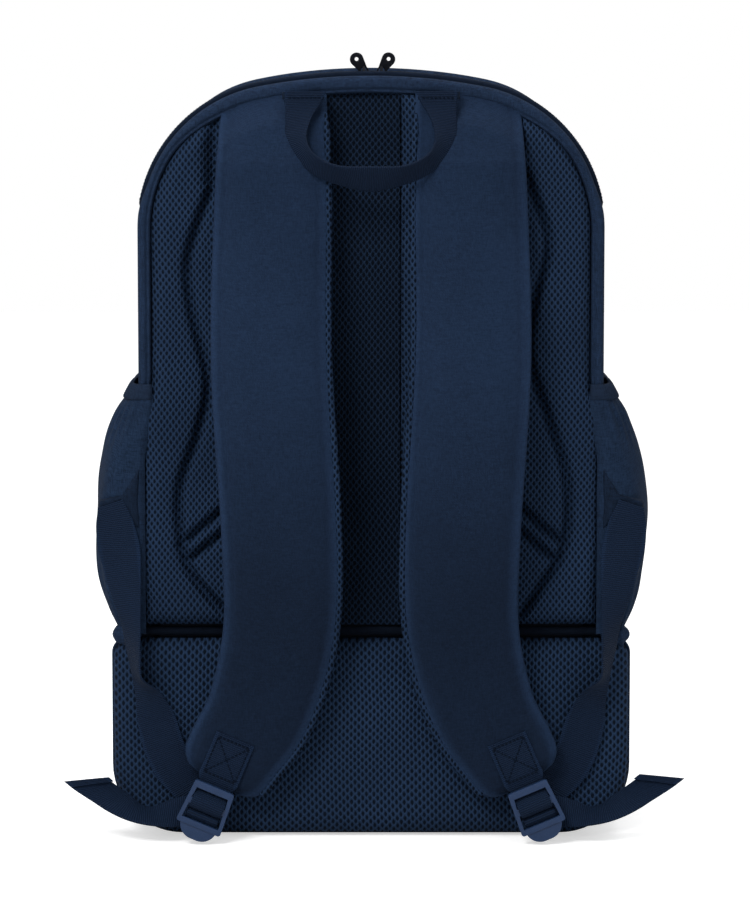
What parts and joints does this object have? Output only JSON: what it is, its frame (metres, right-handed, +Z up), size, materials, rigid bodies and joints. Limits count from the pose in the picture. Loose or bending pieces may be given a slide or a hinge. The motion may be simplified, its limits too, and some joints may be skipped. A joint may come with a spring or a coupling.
{
  "type": "racket backpack",
  "caption": "Upright padded backpack for rackets: arched zip lid, air-mesh back, padded shoulder straps with ladder locks, haul loop, side pockets, shoe compartment and front pocket.",
  "frame": {"origin": "middle of the flat base, on the surface that the pack stands on, level with the middle of its width", "axes": "+X across the pack, +Y from the harness side towards the front pocket, +Z up"},
  "size_m": [0.392, 0.2652, 0.5048],
  "materials": {
    "pack_fabric": "navy heathered polyester",
    "air_mesh": "navy spacer mesh with diamond holes over foam",
    "strap_fabric": "navy fine twill over foam",
    "webbing": "navy ribbed flat webbing",
    "binding_tape": "navy binding tape and elastic",
    "lining": "dark grey plain lining",
    "board": "dark stiffening board",
    "zip_tape": "black coil zip on woven tape",
    "zip_slider": "black painted cast slider",
    "zip_puller": "black moulded puller",
    "lock_plastic": "mid blue moulded acetal"
  },
  "bodies": {
    "pack": {"main_shell": "pack_fabric", "body_zip_tape": "zip_tape", "back_board": "board", "edge_binding": "pack_fabric", "left_back_pad": "air_mesh", "right_back_pad": "air_mesh", "air_channel_pad": "air_mesh", "lumbar_pad": "air_mesh", "lumbar_board": "board", "lumbar_binding": "pack_fabric", "waist_piping": "binding_tape", "shoe_shell": "pack_fabric", "shoe_floor_board": "board", "shoe_front_frame": "pack_fabric", "shoe_zip_tape": "zip_tape", "compartment_floor": "lining", "racket_sleeve": "lining", "front_pocket_shell": "pack_fabric", "front_pocket_zip_tape": "zip_tape", "left_side_pocket": "pack_fabric", "right_side_pocket": "pack_fabric", "left_pocket_hem": "binding_tape", "right_pocket_hem": "binding_tape", "left_strap_root": "strap_fabric", "right_strap_root": "strap_fabric", "left_haul_loop_end": "webbing", "right_haul_loop_end": "webbing", "left_lower_webbing": "webbing", "right_lower_webbing": "webbing", "left_webbing_anchor_tab": "pack_fabric", "right_webbing_anchor_tab": "pack_fabric"},
    "lid": {"lid_shell": "pack_fabric", "lid_zip_tape": "zip_tape"},
    "left_main_slider": {"left_main_slider": "zip_slider"},
    "right_main_slider": {"right_main_slider": "zip_slider"},
    "left_main_puller": {"left_main_puller": "zip_puller"},
    "right_main_puller": {"right_main_puller": "zip_puller"},
    "haul_loop": {"haul_loop": "webbing"},
    "left_strap": {"left_strap_pad": "strap_fabric", "left_strap_end_webbing": "webbing"},
    "right_strap": {"right_strap_pad": "strap_fabric", "right_strap_end_webbing": "webbing"},
    "left_lock": {"left_ladder_lock": "lock_plastic"},
    "right_lock": {"right_ladder_lock": "lock_plastic"},
    "left_tail": {"left_webbing_tail": "webbing"},
    "right_tail": {"right_webbing_tail": "webbing"},
    "shoe_flap": {"shoe_flap": "pack_fabric"},
    "shoe_slider": {"shoe_slider": "zip_slider"},
    "shoe_puller": {"shoe_puller": "zip_puller"},
    "pocket_flap": {"front_pocket_flap": "pack_fabric"},
    "pocket_slider": {"front_pocket_slider": "zip_slider"},
    "pocket_puller": {"front_pocket_puller": "zip_puller"}
  },
  "joints": [
    {"name": "lid_hinge", "type": "hinge", "parent": "pack", "child": "lid", "pos_m": [0, 0.085, 0.338], "axis": [-1, 0, 0], "range_deg": [0, 90]},
    {"name": "left_main_slider_run", "type": "hinge", "parent": "lid", "child": "left_main_slider", "pos_m": [0, -0.07515, 0.108], "axis": [0, -1, 0], "range_deg": [0, 9]},
    {"name": "right_main_slider_run", "type": "hinge", "parent": "lid", "child": "right_main_slider", "pos_m": [0, -0.07515, 0.108], "axis": [0, 1, 0], "range_deg": [0, 9]},
    {"name": "left_main_puller_swing", "type": "hinge", "parent": "left_main_slider", "child": "left_main_puller", "pos_m": [-0.0071, -0.07515, 0.49344], "axis": [0, -1, 0], "range_deg": [-20, 45]},
    {"name": "right_main_puller_swing", "type": "hinge", "parent": "right_main_slider", "child": "right_main_puller", "pos_m": [0.00964, -0.07515, 0.49338], "axis": [0, 1, 0], "range_deg": [-20, 45]},
    {"name": "haul_loop_swing", "type": "hinge", "parent": "pack", "child": "haul_loop", "pos_m": [0, -0.1048, 0.466], "axis": [-1, 0, 0], "range_deg": [0, 150]},
    {"name": "left_strap_swing", "type": "hinge", "parent": "pack", "child": "left_strap", "pos_m": [-0.062, -0.113, 0.40325], "axis": [-1, 0, 0], "range_deg": [0, 15]},
    {"name": "left_lock_tilt", "type": "hinge", "parent": "left_strap", "child": "left_lock", "pos_m": [-0.09935, -0.1165, 0.03491], "axis": [-0.9205, 0, 0.3907], "range_deg": [0, 30]},
    {"name": "left_tail_adjust", "type": "slide", "parent": "left_strap", "child": "left_tail", "axis": [-1, 0, 0], "range_m": [0, 0.02]},
    {"name": "right_strap_swing", "type": "hinge", "parent": "pack", "child": "right_strap", "pos_m": [0.062, -0.113, 0.40325], "axis": [-1, 0, 0], "range_deg": [0, 15]},
    {"name": "right_lock_tilt", "type": "hinge", "parent": "right_strap", "child": "right_lock", "pos_m": [0.09935, -0.1165, 0.03491], "axis": [-0.9205, 0, -0.3907], "range_deg": [0, 30]},
    {"name": "right_tail_adjust", "type": "slide", "parent": "right_strap", "child": "right_tail", "axis": [1, 0, 0], "range_m": [0, 0.02]},
    {"name": "shoe_flap_hinge", "type": "hinge", "parent": "pack", "child": "shoe_flap", "pos_m": [0, 0.092, 0.014], "axis": [-1, 0, 0], "range_deg": [0, 85]},
    {"name": "shoe_slider_run", "type": "slide", "parent": "shoe_flap", "child": "shoe_slider", "axis": [1, 0, 0], "range_m": [0, 0.24]},
    {"name": "shoe_puller_swing", "type": "hinge", "parent": "shoe_slider", "child": "shoe_puller", "pos_m": [-0.12, 0.0979, 0.112], "axis": [-1, 0, 0], "range_deg": [-150, 0]},
    {"name": "pocket_flap_hinge", "type": "hinge", "parent": "pack", "child": "pocket_flap", "pos_m": [0, 0.118, 0.146], "axis": [-1, 0, 0], "range_deg": [0, 80]},
    {"name": "pocket_slider_run", "type": "slide", "parent": "pocket_flap", "child": "pocket_slider", "axis": [1, 0, 0], "range_m": [0, 0.14]},
    {"name": "pocket_puller_swing", "type": "hinge", "parent": "pocket_slider", "child": "pocket_puller", "pos_m": [-0.07, 0.1239, 0.306], "axis": [-1, 0, 0], "range_deg": [-150, 0]}
  ]
}
